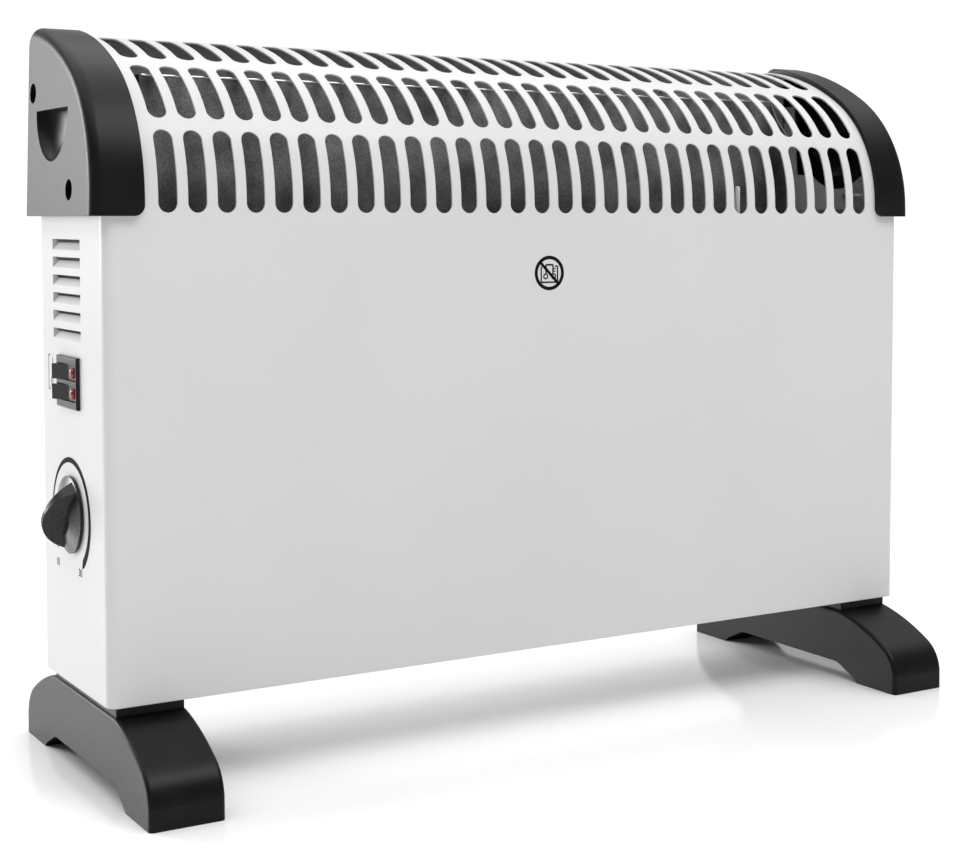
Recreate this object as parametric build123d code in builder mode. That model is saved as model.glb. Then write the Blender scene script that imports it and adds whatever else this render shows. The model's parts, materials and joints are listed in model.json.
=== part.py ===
from build123d import *
import os
from math import cos, pi, radians, sin, tan

# Fan convector heater: a folded steel case with a curved slotted grille, moulded end caps and feet,
# two rocker switches and a thermostat on its left side, and heating coils, heat shields and a fan inside.
# The frame's origin is at the bottom centre of the whole heater, knob included. +Z is up, the front
# faces -Y, and +X is to the right of someone looking at the front.

# ---------------------------------------------------------------- driving dimensions, millimetres
CASE_W = 519.0           # across the two side wings
CASE_BOTTOM = 48.7       # height of the case's lower edge above the floor
SHEET = 1.0              # thickness of the case's steel sheet
CORNER_R = 6.0           # vertical front corners of the case
ROUNDED_TO_Y = 30.0      # edges behind this stay square
WING_TOP = 297.0         # the side wings end here, inside the end caps
FLANGE = 14.0            # width of the case's rear return flanges

CAP_D = 113.4            # front to back of an end cap
CAP_W = 27.0             # width of the band that a cap shows on the front
CAP_PROUD = 7.0          # lower edge of a cap's face beyond the side wing
CAP_LEAN = 2.9           # how far the face leans inwards up to CAP_LEAN_TOP
CAP_LEAN_TOP = 392.0
CAP_BOTTOM = 291.7
CAP_WALL = 2.85
CAP_RIM_R = 6.0          # soft edge between a cap's face and its band
CASE_INSET = 3.0         # case skin behind the caps' skin, front, top and back

SPRING_Z = 299.0         # the front stops being vertical here
LOWER_R = 81.0           # first arc of the caps' outline, then a flatter one
LOWER_TURN = 58.0
UPPER_R = 167.6
UPPER_TURN = 23.0
BACK_R = 11.0            # rear top corner

SLOT_COUNT = 30
SLOT_PITCH = 15.63
SLOT_W = 10.0
SLOT_L = 42.2
SLOT_ROWS = (15.7, 65.4, 117.6)   # centre of each row, along the skin from the spring line

LOUVRE_COUNT = 6
LOUVRE_PITCH = 9.3
LOUVRE_TOP = 279.8
LOUVRE_H = 5.4
LOUVRE_Y = (-16.0, 30.0)
LOUVRE_DROP = 2.8        # how far a louvre's blade leans into the case
LOUVRE_GAP = 1.7         # between the blade's tip and the opening's upper edge
LOUVRE_LAP = 0.3         # a blade ends this far inside its opening, and its cheek this far outside

SWITCH_Y = 2.85          # centre of the switch housing
SWITCH_Z = 206.4
SWITCH_L = 33.4
SWITCH_H = 26.7
SWITCH_RIM = 2.0         # housing rim proud of the wing
ROCKER_SPACING = 10.6
ROCKER_H = 7.8
ROCKER_HALF = 13.6
ROCKER_TILT = 10.5       # each way from level
PIVOT_DROP = 4.0         # rocker pivot below the rocker's ridge
PIN_R = 1.5

DIAL_Y = 2.0             # thermostat axis
DIAL_Z = 138.0
KNOB_R = 20.0
KNOB_RIM = 1.5           # thickness of the knob's skirt at its rim
KNOB_BASE = 4.2          # thickness of the skirt at its middle
KNOB_REACH = 15.5        # crest of the knob's grip beyond the side wing
KNOB_GAP = 0.4
KNOB_ANGLE = 34.4        # grip's tip from upright, towards the front
SHAFT_R = 3.0
BUSH_R = 4.9             # thermostat's threaded bush

FOOT_W = 38.7
FOOT_X = 236.65          # centre of each foot from the case's middle
FOOT_L = 200.0
FOOT_TOP = 43.2
NECK_HALF = 49.0
NECK_INSET = 1.6         # neck's sides inside the foot's sides
ARCH_Z = 10.0
FOOT_EDGE_R = 2.4
FOOT_TOE_R = 22.0
FOOT_TOE_LEAN = 5.0      # degrees by which the instep starts off the toe's upright

SHIELD = 0.8             # heat shields' sheet
SHIELD_X = (-226.0, 190.0)
SHIELD_Z = (118.0, 364.5)
FRONT_SHIELD_Y = -12.0
REAR_SHIELD_Y = 40.0
CHEEK_Y = -28.0          # front edge of the cheek at the front shield's right end

COIL_R = 3.6             # outer radius of a resistance coil
COIL_Z = (142.0, 166.0)
COIL_Y = (2.0, 26.0)     # the two heat stages
CERAMIC_R = 6.5          # flange of a coil's insulating bush

FAN_X = 95.0
FAN_R = 39.0
FAN_Z = 62.0
GLAND_X = -225.0
GLAND_Z = 75.0
CABLE_R = 3.6

FIT = 0.05               # radial clearance of a turning shaft
TAB_W = 4.8              # blade terminals
TAB_T = 0.8

# ---------------------------------------------------------------- worked out from them
MID_X = (KNOB_REACH - CAP_PROUD) / 2      # case's middle plane: the knob lengthens the left side
SIDE_X = CASE_W / 2                       # outer face of a wing, from the middle plane
CAP_X = SIDE_X + CAP_PROUD                # outer face of a cap
FRONT_Y = -CAP_D / 2 + CASE_INSET         # case's front face
BACK_Y = -FRONT_Y
PLATE_TOP = CASE_BOTTOM + SHEET

LEVEL = Plane(origin=(MID_X, 0, 0))
FRONT = Plane(origin=(MID_X, 0, 0), x_dir=(1, 0, 0), z_dir=(0, -1, 0))
SIDE = Plane(origin=(MID_X, 0, 0), x_dir=(0, 1, 0), z_dir=(1, 0, 0))

ALONG_X = (0, 90, 0)
ALONG_Y = (-90, 0, 0)
LOW_END = (Align.CENTER, Align.CENTER, Align.MIN)

os.makedirs("parts", exist_ok=True)


# ---------------------------------------------------------------- shared shapes
def block(x, y, z, mode=Mode.ADD):
    """Box between the low and high x, y and z, measured from the case's middle plane."""
    with Locations((MID_X + x[0], y[0], z[0])):
        Box(x[1] - x[0], y[1] - y[0], z[1] - z[0], align=(Align.MIN,) * 3, mode=mode)


def tab(x, y, z):
    """Blade terminal that runs along X between the low and high x, centred on y and z."""
    block(x, (y - TAB_W / 2, y + TAB_W / 2), (z - TAB_T / 2, z + TAB_T / 2))


def rod(base, radius, length, turn=(0, 0, 0), mode=Mode.ADD):
    """Cylinder that starts at base and runs along +Z, or along the axis that turn gives."""
    with Locations((MID_X + base[0], base[1], base[2])):
        Cylinder(radius, length, rotation=turn, align=LOW_END, mode=mode)


def section(inset, base, plane):
    """Side outline of the heater, drawn inset from the caps' skin and cut off flat at base."""
    front = -CAP_D / 2 + inset
    back = -front
    with BuildSketch(plane) as outline:
        with BuildLine():
            wall = Line((front, base), (front, SPRING_Z))
            lower = JernArc(wall @ 1, wall % 1, LOWER_R - inset, -LOWER_TURN)
            upper = JernArc(lower @ 1, lower % 1, UPPER_R - inset, -UPPER_TURN)
            rise = (back - (upper @ 1).X) * tan(radians(90 - LOWER_TURN - UPPER_TURN))
            top = Line(upper @ 1, (back, (upper @ 1).Y + rise))
            rear = Line(top @ 1, (back, base))
            Line(rear @ 1, wall @ 0)
        make_face()
        fillet(outline.vertices().sort_by(Axis.Y)[-1:], BACK_R - inset)
    return outline.sketch


def skin_plane(along):
    """Plane that touches the case's skin at a distance along it from the spring line."""
    lower_r = LOWER_R - CASE_INSET
    upper_r = UPPER_R - CASE_INSET
    turn = radians(LOWER_TURN)
    if along < lower_r * turn:
        angle = along / lower_r
        y = FRONT_Y + lower_r * (1 - cos(angle))
        z = SPRING_Z + lower_r * sin(angle)
    else:
        angle = turn + (along - lower_r * turn) / upper_r
        y = FRONT_Y + lower_r * (1 - cos(turn)) + upper_r * (cos(turn) - cos(angle))
        z = SPRING_Z + lower_r * sin(turn) + upper_r * (sin(angle) - sin(turn))
    return Plane(origin=(MID_X, y, z), x_dir=(1, 0, 0), z_dir=(0, -cos(angle), sin(angle)))


def case_solid(inset, half_width, corner, base):
    """Solid of the case's outline, with its front and top side corners rounded."""
    with BuildPart() as solid:
        extrude(section(inset, base, SIDE.offset(-half_width)), amount=2 * half_width)
        rounded = []
        for end in (solid.faces().sort_by(Axis.X)[0], solid.faces().sort_by(Axis.X)[-1]):
            rounded += [e for e in end.edges() if e.center().Y < ROUNDED_TO_Y and e.center().Z > base + 1]
        fillet(rounded, corner)
    return solid.part


def screw(base, turn, head_r, head_h, shank_r, shank_l):
    """Pan-head screw: the head's top is at base, and the shank runs on from it."""
    with Locations(Location((MID_X + base[0], base[1], base[2]), turn)):
        Cylinder(head_r, head_h, align=LOW_END)
        with Locations((0, 0, head_h)):
            Cylinder(shank_r, shank_l, align=LOW_END)
        Box(head_r * 1.3, 0.9, 0.9, align=LOW_END, mode=Mode.SUBTRACT)
        Box(0.9, head_r * 1.3, 0.9, align=LOW_END, mode=Mode.SUBTRACT)


# ---------------------------------------------------------------- folded steel case
BACK_SCREWS = [(side * (SIDE_X - 9.5), z) for side in (-1, 1) for z in (80.0, 170.0, 260.0)]
BACK_SCREWS += [(x, 374.0) for x in (-150.0, 0.0, 150.0)]
FLANGE_TOP = 367.0       # lower edge of the top rear flange

with BuildPart() as front_shell:
    add(case_solid(CASE_INSET, SIDE_X, CORNER_R, CASE_BOTTOM))
    inside = case_solid(CASE_INSET + SHEET, SIDE_X - SHEET, CORNER_R - SHEET, CASE_BOTTOM - 5)
    add(inside, mode=Mode.SUBTRACT)
    # rear opening between the return flanges
    opening_x = SIDE_X - FLANGE
    block((-opening_x, opening_x), (BACK_Y - 5, BACK_Y + 5), (CASE_BOTTOM - 5, FLANGE_TOP), Mode.SUBTRACT)
    # above the wings the curved sheet stops short of the caps' faces
    for low, high in ((-SIDE_X - 1, -SIDE_X + CORNER_R), (SIDE_X - CORNER_R, SIDE_X + 1)):
        block((low, high), (FRONT_Y - 1, BACK_Y + 1), (WING_TOP, 400), Mode.SUBTRACT)
    # grille: three rows of round-ended slots
    for along in SLOT_ROWS:
        with BuildSketch(skin_plane(along)):
            with GridLocations(SLOT_PITCH, 1, SLOT_COUNT, 1):
                SlotOverall(SLOT_L, SLOT_W, rotation=90)
        extrude(amount=6, both=True, mode=Mode.SUBTRACT)
    # louvres: each blade stays joined along its lower edge and leans inwards
    for i in range(LOUVRE_COUNT):
        top = LOUVRE_TOP - i * LOUVRE_PITCH
        low = top - LOUVRE_H
        block((-SIDE_X - 1, -SIDE_X + 2), LOUVRE_Y, (low, top), Mode.SUBTRACT)
        root = (-SIDE_X, low - 0.5)
        heel = (-SIDE_X + SHEET, low - 0.5)
        tip = (-SIDE_X + LOUVRE_DROP, top - LOUVRE_GAP)
        inner_tip = (tip[0] + SHEET, tip[1])
        with BuildSketch(FRONT.offset(LOUVRE_LAP - LOUVRE_Y[1])):
            with BuildLine():
                Polyline((-SIDE_X, low), tip, inner_tip, heel, root, (-SIDE_X, low))
            make_face()
        extrude(amount=LOUVRE_Y[1] - LOUVRE_Y[0] - 2 * LOUVRE_LAP)
        # the blade's rear end is closed by a pressed cheek
        with BuildSketch(FRONT.offset(-LOUVRE_LAP - LOUVRE_Y[1])):
            with BuildLine():
                Polyline(root, (-SIDE_X, top + 1), inner_tip, heel, root)
            make_face()
        extrude(amount=SHEET)
    # cut-outs for the switch housing and the thermostat's bush
    cut_y = (SWITCH_Y - SWITCH_L / 2 + 0.7, SWITCH_Y + SWITCH_L / 2 - 0.7)
    cut_z = (SWITCH_Z - SWITCH_H / 2 + 0.4, SWITCH_Z + SWITCH_H / 2 - 0.4)
    block((-SIDE_X - 1, -SIDE_X + 2), cut_y, cut_z, Mode.SUBTRACT)
    rod((-SIDE_X - 1, DIAL_Y, DIAL_Z), BUSH_R + 0.3, 3, ALONG_X, Mode.SUBTRACT)
    for x, z in BACK_SCREWS:
        rod((x, BACK_Y - 3, z), 2.1, 6, ALONG_Y, Mode.SUBTRACT)

PANEL_Y = BACK_Y - SHEET - 0.15          # outer face of the back panel
VENT_COUNT = 26

with BuildPart() as back_panel:
    block((-SIDE_X + 6.5, SIDE_X - 6.5), (PANEL_Y - SHEET, PANEL_Y), (PLATE_TOP + 0.3, 379.0))
    with BuildSketch(FRONT.offset(-PANEL_Y - 1)):
        with Locations((0, 88), (0, 118)):
            with GridLocations(SLOT_PITCH, 1, VENT_COUNT, 1):
                SlotOverall(22, 6, rotation=90)
    extrude(amount=SHEET + 2, mode=Mode.SUBTRACT)
    rod((GLAND_X, PANEL_Y - 3, GLAND_Z), 6.2, 5, ALONG_Y, Mode.SUBTRACT)
    for x, z in BACK_SCREWS:
        rod((x, PANEL_Y - 3, z), 1.75, 5, ALONG_Y, Mode.SUBTRACT)

FOOT_SCREW_Y = 30.0
INTAKE_COUNT = 36
INTAKE_PITCH = 11.0

with BuildPart() as bottom_plate:
    plate_x = (-SIDE_X + 1.3, SIDE_X - 1.3)
    plate_y = (FRONT_Y + 1.3, PANEL_Y - SHEET - 0.2)
    block(plate_x, plate_y, (CASE_BOTTOM, CASE_BOTTOM + 12))
    tray_x = (plate_x[0] + SHEET, plate_x[1] - SHEET)
    tray_y = (plate_y[0] + SHEET, plate_y[1] - SHEET)
    fillet(bottom_plate.edges().filter_by(Axis.Z), CORNER_R - SHEET)
    block(tray_x, tray_y, (PLATE_TOP, CASE_BOTTOM + 13), Mode.SUBTRACT)
    with BuildSketch(LEVEL.offset(CASE_BOTTOM - 1)):
        with Locations((0, -24), (0, 24)):
            with GridLocations(INTAKE_PITCH, 1, INTAKE_COUNT, 1):
                SlotOverall(38, 5.5, rotation=90)
    extrude(amount=SHEET + 2, mode=Mode.SUBTRACT)
    for x in (-FOOT_X, FOOT_X):
        for y in (-FOOT_SCREW_Y, FOOT_SCREW_Y):
            rod((x, y, CASE_BOTTOM - 1), 1.95, 3, mode=Mode.SUBTRACT)

with BuildPart() as back_screws:
    for x, z in BACK_SCREWS:
        screw((x, BACK_Y + 2.0, z), (90, 0, 0), 3.5, 1.95, 1.7, 8.0)

# ---------------------------------------------------------------- end caps
CAP_SCREWS = ((43.3, 356.4), (-20.2, 304.8))
POCKET_R = 5.3
POCKET_WALL = 1.9
POCKET_DEPTH = 13.0
BRACKET_X = SIDE_X - 9.0                 # inner face of the wings' brackets
SCOOP_Y = 9.6                            # handle recess: a quarter of a flattened ball
SCOOP_Z = 346.5
SCOOP_R = 26.8
SCOOP_DEPTH = 12.0
SCOOP_WALL = 2.0


def scoop(grow, side):
    """Quarter of a flattened ball, centred on the cap's outer face and below its level top."""
    with BuildPart() as ball:
        inward = Align.MIN if side < 0 else Align.MAX
        with BuildSketch(LEVEL.offset(SCOOP_Z)):
            with Locations((side * CAP_X, SCOOP_Y)):
                Ellipse(SCOOP_DEPTH + grow, SCOOP_R + grow)
                Rectangle(100, 100, align=(inward, Align.MIN), mode=Mode.INTERSECT)
        revolve(axis=Axis((MID_X + side * CAP_X, SCOOP_Y, SCOOP_Z), (1, 0, 0)), revolution_arc=-180)
    return ball.part


def cap_form(side, wall):
    """Solid with a cap's outline inset by wall; its outer face leans inwards and has a soft rim."""
    near_x = side * (CAP_X - CAP_W)
    face_x = side * (CAP_X - wall)
    base = CAP_BOTTOM if wall == 0 else CAP_BOTTOM - 2
    start_x = near_x if wall == 0 else near_x - side
    with BuildPart() as form:
        extrude(section(wall, base, SIDE.offset(start_x)), amount=face_x - start_x)
        with BuildSketch(FRONT.offset(-CAP_D)):
            with BuildLine():
                foot = (face_x, base)
                top = (face_x - side * CAP_LEAN, CAP_LEAN_TOP)
                Polyline(foot, top, (face_x + side, CAP_LEAN_TOP), (face_x + side, base), foot)
            make_face()
        extrude(amount=2 * CAP_D, mode=Mode.SUBTRACT)
        face = form.faces().sort_by(Axis.X)[0 if side < 0 else -1]
        fillet([e for e in face.edges() if e.center().Z > base + 1], CAP_RIM_R - wall)
    return form.part


def end_cap(side):
    """Moulded cap; side is -1 for the left one and +1 for the right one."""
    face_x = side * CAP_X
    with BuildPart() as cup:
        # walls of the handle recess, cut off at the leaning face
        add(scoop(SCOOP_WALL, side))
        add(cap_form(side, 0), mode=Mode.INTERSECT)
    with BuildPart() as cap:
        add(cap_form(side, 0))
        inner_face = cap.faces().sort_by(Axis.X)[-1 if side < 0 else 0]
        fillet(inner_face.edges().sort_by(Axis.Z)[0], 5.5)
        add(cap_form(side, CAP_WALL), mode=Mode.SUBTRACT)
        add(cup.part)
        roof_x = sorted(face_x - side * depth for depth in (CAP_LEAN + CAP_WALL, SCOOP_DEPTH + SCOOP_WALL))
        roof_y = (SCOOP_Y - SCOOP_R - SCOOP_WALL, SCOOP_Y + SCOOP_R + SCOOP_WALL)
        block(roof_x, roof_y, (SCOOP_Z, SCOOP_Z + SCOOP_WALL))
        # handle recess
        add(scoop(0, side), mode=Mode.SUBTRACT)
        # screw pockets, whose tubes are cut back to the leaning face
        for y, z in CAP_SCREWS:
            mouth = side * (CAP_X - CAP_LEAN - 0.5)
            bottom = side * (CAP_X - POCKET_DEPTH)
            floor = bottom + side * POCKET_WALL
            turn = (0, 90 * side, 0)
            rod((bottom, y, z), POCKET_R + POCKET_WALL, abs(mouth - bottom), turn)
            rod((floor, y, z), POCKET_R, POCKET_DEPTH, turn, Mode.SUBTRACT)
            rod((bottom - side, y, z), 2.2, POCKET_DEPTH, turn, Mode.SUBTRACT)
    return cap


left_end_cap = end_cap(-1)
right_end_cap = end_cap(1)


def wing_bracket(side):
    """Folded bracket, spot-welded inside a wing, that takes the cap's screws."""
    outer = side * (SIDE_X - SHEET - 0.1)
    inner = side * (CAP_X - POCKET_DEPTH - 0.1)
    with BuildPart() as bracket:
        thick = side * 1.2
        with BuildSketch(SIDE.offset(inner)):
            with BuildLine():
                # its upper edge dips below the cap's handle recess
                front = Polyline((-26, 317.5), (-40, 312), (-44, WING_TOP + 0.5), (50, WING_TOP + 0.5))
                tab = Polyline(front @ 1, (50, 366), (39.5, 366), (36, 320))
                level = Line(tab @ 1, (20, 318.5))
                ThreePointArc(level @ 1, (-4.5, 309.8), front @ 0)
            make_face()
        extrude(amount=-thick)
        low, high = sorted((outer, inner - thick))
        block((low, high), (-44, 46), (296.4, 297.6))
        low, high = sorted((outer, outer - thick))
        block((low, high), (-44, -20), (272, 297.6))
        block((low, high), (34, 46), (272, 297.6))
        for y, z in CAP_SCREWS:
            rod((-300, y, z), 1.75, 600, ALONG_X, Mode.SUBTRACT)
    return bracket


left_wing_bracket = wing_bracket(-1)
right_wing_bracket = wing_bracket(1)

with BuildPart() as cap_screws:
    head_x = CAP_X - POCKET_DEPTH + POCKET_WALL + 2.4
    for y, z in CAP_SCREWS:
        screw((-head_x, y, z), ALONG_X, 4.0, 2.3, 1.7, 12.0)
        screw((head_x, y, z), (0, -90, 0), 4.0, 2.3, 1.7, 12.0)


# ---------------------------------------------------------------- feet
def foot(side):
    """Arched foot across the heater, hollow from below, with two screw posts."""
    half_w = FOOT_W / 2
    half_l = FOOT_L / 2
    x = side * FOOT_X
    with BuildPart() as body:
        with BuildSketch(SIDE.offset(x - half_w)):
            with BuildLine():
                toe = Line((-half_l, 0), (-half_l, 11))
                lean = (sin(radians(FOOT_TOE_LEAN)), cos(radians(FOOT_TOE_LEAN)))
                instep = JernArc(toe @ 1, lean, FOOT_TOE_R, FOOT_TOE_LEAN - 60)
                TangentArc([instep @ 1, (-NECK_HALF, FOOT_TOP)], tangent=instep % 1)
                Line((-NECK_HALF, FOOT_TOP), (0, FOOT_TOP))
                Line((0, FOOT_TOP), (0, ARCH_Z))
                Line((0, ARCH_Z), (-44, ARCH_Z))
                Spline((-44, ARCH_Z), (-56, 6), (-66, 0), tangents=((-1, 0), (-0.8, -1)))
                Line((-66, 0), (-half_l, 0))
            make_face()
            mirror(about=Plane.YZ)
        extrude(amount=FOOT_W)
        edges = []
        for end in (body.faces().sort_by(Axis.X)[0], body.faces().sort_by(Axis.X)[-1]):
            for edge in end.edges():
                if edge.center().Z > ARCH_Z + 5 or abs(edge.center().Y) > half_l - 1:
                    edges.append(edge)
        fillet(edges, FOOT_EDGE_R)
        neck_x = (x - half_w + NECK_INSET, x + half_w - NECK_INSET)
        block(neck_x, (-NECK_HALF, NECK_HALF), (FOOT_TOP - 4, CASE_BOTTOM))
        block((x - half_w + 3, x + half_w - 3), (-52, 52), (ARCH_Z - 8, FOOT_TOP - 5), Mode.SUBTRACT)
        for y in (-FOOT_SCREW_Y, FOOT_SCREW_Y):
            rod((x, y, ARCH_Z), 6.5, FOOT_TOP - 2 - ARCH_Z)
            rod((x, y, ARCH_Z - 1), 4.4, 26, mode=Mode.SUBTRACT)
            rod((x, y, ARCH_Z - 1), 2.2, 50, mode=Mode.SUBTRACT)
    return body


left_foot = foot(-1)
right_foot = foot(1)

with BuildPart() as foot_screws:
    for x in (-FOOT_X, FOOT_X):
        for y in (-FOOT_SCREW_Y, FOOT_SCREW_Y):
            screw((x, y, ARCH_Z + 22.5), (0, 0, 0), 3.9, 2.4, 1.85, 18.0)

# ---------------------------------------------------------------- switch and its two rockers
PIVOT_X = -SIDE_X - 0.9 + PIVOT_DROP     # rocker pivot, just inside the wing
ROCKER_END_R = ((ROCKER_HALF * cos(radians(ROCKER_TILT))) ** 2
                + (PIVOT_DROP + ROCKER_HALF * sin(radians(ROCKER_TILT))) ** 2) ** 0.5
WELL_HALF = ROCKER_END_R + 0.35
WELL_H = ROCKER_H + 0.7
WELL_BACK = -SIDE_X + 20
ROCKER_ZS = {"upper": SWITCH_Z + ROCKER_SPACING / 2, "lower": SWITCH_Z - ROCKER_SPACING / 2}

with BuildPart() as switch_housing:
    half_l = SWITCH_L / 2
    half_h = SWITCH_H / 2
    rim_y = (SWITCH_Y - half_l, SWITCH_Y + half_l)
    rim_z = (SWITCH_Z - half_h, SWITCH_Z + half_h)
    block((-SIDE_X - SWITCH_RIM, -SIDE_X - 0.05), rim_y, rim_z)
    fillet(switch_housing.faces().sort_by(Axis.X)[0].edges(), 0.8)
    body_y = (SWITCH_Y - half_l + 0.9, SWITCH_Y + half_l - 0.9)
    body_z = (SWITCH_Z - half_h + 0.6, SWITCH_Z + half_h - 0.6)
    block((-SIDE_X - 0.5, WELL_BACK + 2), body_y, body_z)
    for z in ROCKER_ZS.values():
        well_y = (SWITCH_Y - WELL_HALF, SWITCH_Y + WELL_HALF)
        block((-SIDE_X - 5, WELL_BACK), well_y, (z - WELL_H / 2, z + WELL_H / 2), Mode.SUBTRACT)
    rod((PIVOT_X, SWITCH_Y, SWITCH_Z - half_h + 1.2), PIN_R + FIT, SWITCH_H - 2.4, mode=Mode.SUBTRACT)

ROCKER_PLANE = Plane(
    origin=(MID_X + PIVOT_X, SWITCH_Y, 0),
    x_dir=(-sin(radians(ROCKER_TILT)), cos(radians(ROCKER_TILT)), 0),
    z_dir=(0, 0, 1),
)
# the pressed half of each rocker lies level with the wing at rest; this plane lies on it, x to the front
RIDGE = ROCKER_PLANE.from_local_coords(Vector(0, PIVOT_DROP, 0))
LENS_PLANE = Plane(origin=(RIDGE.X, RIDGE.Y, 0), x_dir=(0, -1, 0), z_dir=(-1, 0, 0))
LENS_FORWARD = 8.1       # jewel's centre, from the ridge
LENS_R = 2.75
LENS_SEAT = 1.6
LENS_DOME = 1.9


def rocker(z):
    """Rocker with a shallow V face, round ends about its pivot and a pin at each side."""
    end_x = ROCKER_HALF * cos(radians(ROCKER_TILT))
    end_y = PIVOT_DROP + ROCKER_HALF * sin(radians(ROCKER_TILT))
    skirt_y = -6.0
    skirt_x = (ROCKER_END_R ** 2 - skirt_y ** 2) ** 0.5
    with BuildPart() as body:
        with BuildSketch(ROCKER_PLANE.offset(z - ROCKER_H / 2)):
            with BuildLine():
                Polyline((-end_x, end_y), (0, PIVOT_DROP), (end_x, end_y))
                ThreePointArc((end_x, end_y), (ROCKER_END_R, 0), (skirt_x, skirt_y))
                Line((skirt_x, skirt_y), (-skirt_x, skirt_y))
                ThreePointArc((-skirt_x, skirt_y), (-ROCKER_END_R, 0), (-end_x, end_y))
            make_face()
        extrude(amount=ROCKER_H)
        # hollow underside
        with BuildSketch(ROCKER_PLANE.offset(z - ROCKER_H / 2 + 1.6)):
            with Locations((0, skirt_y)):
                Rectangle(2 * end_x - 4, 6.4)
        extrude(amount=ROCKER_H - 3.2, mode=Mode.SUBTRACT)
        # pivot pins
        with BuildSketch(ROCKER_PLANE.offset(z - WELL_H / 2 - 0.5)):
            Circle(PIN_R)
        extrude(amount=WELL_H + 1.0)
        # seat of the jewel lens
        with BuildSketch(LENS_PLANE.offset(-LENS_SEAT)):
            with Locations((LENS_FORWARD, z)):
                Circle(LENS_R + 0.05)
        extrude(amount=4, mode=Mode.SUBTRACT)
    return body


def lens(z):
    """Domed jewel set into the rocker's pressed half."""
    with BuildPart() as body:
        with BuildSketch(LENS_PLANE.offset(0.05 - LENS_SEAT)):
            with Locations((LENS_FORWARD, z)):
                Circle(LENS_R)
        extrude(amount=LENS_SEAT - 0.05 + LENS_DOME)
        fillet(body.faces().sort_by(Axis.X)[0].edges(), LENS_DOME - 0.1)
    return body


rocker_upper = rocker(ROCKER_ZS["upper"])
rocker_lower = rocker(ROCKER_ZS["lower"])
lens_upper = lens(ROCKER_ZS["upper"])
lens_lower = lens(ROCKER_ZS["lower"])

TERMINAL_YS = (SWITCH_Y - 11, SWITCH_Y, SWITCH_Y + 11)
HOUSING_BACK = WELL_BACK + 2

with BuildPart() as switch_terminals:
    for z in ROCKER_ZS.values():
        for y in TERMINAL_YS:
            tab((HOUSING_BACK + 0.05, HOUSING_BACK + 9), y, z)

# ---------------------------------------------------------------- thermostat and its knob
STAT_X = -SIDE_X + SHEET + 0.1           # thermostat's mounting face, inside the wing
STAT_HALF = 14.5
STAT_D = 21.0
BUSH_OUT = 3.4                           # threaded bush beyond the mounting face
NUT_H = 2.0

with BuildPart() as thermostat_body:
    stat_y = (DIAL_Y - STAT_HALF, DIAL_Y + STAT_HALF)
    stat_z = (DIAL_Z - STAT_HALF, DIAL_Z + STAT_HALF)
    block((STAT_X, STAT_X + 3), (stat_y[0] - 3, stat_y[1] + 3), (DIAL_Z - 9, DIAL_Z + 9))
    block((STAT_X, STAT_X + STAT_D), stat_y, stat_z)
    rod((STAT_X - BUSH_OUT, DIAL_Y, DIAL_Z), BUSH_R, BUSH_OUT + 1, ALONG_X)
    bore_start = (STAT_X - BUSH_OUT - 1, DIAL_Y, DIAL_Z)
    rod(bore_start, SHAFT_R + FIT, BUSH_OUT + STAT_D - 2, ALONG_X, Mode.SUBTRACT)
    for z in (DIAL_Z - 10, DIAL_Z + 10):
        tab((STAT_X + STAT_D, STAT_X + STAT_D + 8), DIAL_Y, z)

with BuildPart() as thermostat_nut:
    with BuildSketch(SIDE.offset(-SIDE_X - 0.05)):
        with Locations((DIAL_Y, DIAL_Z)):
            RegularPolygon(6.6, 6, major_radius=False)
            Circle(BUSH_R + 0.05, mode=Mode.SUBTRACT)
    extrude(amount=-NUT_H)

KNOB_BACK = -SIDE_X - KNOB_GAP
KNOB_FACE = KNOB_BACK - KNOB_BASE        # middle of the skirt
SHAFT_OUT = KNOB_FACE - 3

with BuildPart() as thermostat_shaft:
    shaft_in = STAT_X + STAT_D - 4
    rod((SHAFT_OUT, DIAL_Y, DIAL_Z), SHAFT_R, shaft_in - SHAFT_OUT, ALONG_X)

# plane through the knob's axis and its grip's tip: x along the grip, y out of the case from the wing
TIP_DIR = (0, -sin(radians(KNOB_ANGLE)), cos(radians(KNOB_ANGLE)))
GRIP_NORMAL = (0, -cos(radians(KNOB_ANGLE)), -sin(radians(KNOB_ANGLE)))
GRIP_PLANE = Plane(origin=(MID_X - SIDE_X, DIAL_Y, DIAL_Z), x_dir=TIP_DIR, z_dir=GRIP_NORMAL)
GRIP_SECTION = Plane(origin=GRIP_PLANE.origin, x_dir=GRIP_NORMAL, z_dir=(0, -TIP_DIR[1], -TIP_DIR[2]))
GRIP_CREST = 0.9         # half the thickness of the grip's crest
GRIP_FOOT = 4.8          # half its thickness where it meets the knob's skirt


def knob_grip():
    """Half-moon blade across the knob, whose sides spread towards the skirt."""
    with BuildPart() as grip:
        with BuildSketch(GRIP_PLANE.offset(-GRIP_FOOT)):
            with BuildLine():
                tip = (KNOB_R - 0.8, KNOB_GAP + 0.2)
                heel = (0.6 - KNOB_R, KNOB_GAP + 0.2)
                crest = (-0.8, KNOB_REACH)
                first = ThreePointArc(tip, (0.62 * KNOB_R, 0.66 * KNOB_REACH), crest)
                ThreePointArc(first @ 1, (-0.7 * KNOB_R, 0.69 * KNOB_REACH), heel)
                Line(heel, tip)
            make_face()
        extrude(amount=2 * GRIP_FOOT)
        with BuildSketch(GRIP_SECTION):
            with BuildLine():
                low, high = 0, KNOB_REACH + 1
                base = (-GRIP_FOOT, low)
                Polyline(base, (-GRIP_CREST, high), (GRIP_CREST, high), (GRIP_FOOT, low), base)
            make_face()
        extrude(amount=KNOB_R, both=True, mode=Mode.INTERSECT)
    return grip.part


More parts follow.
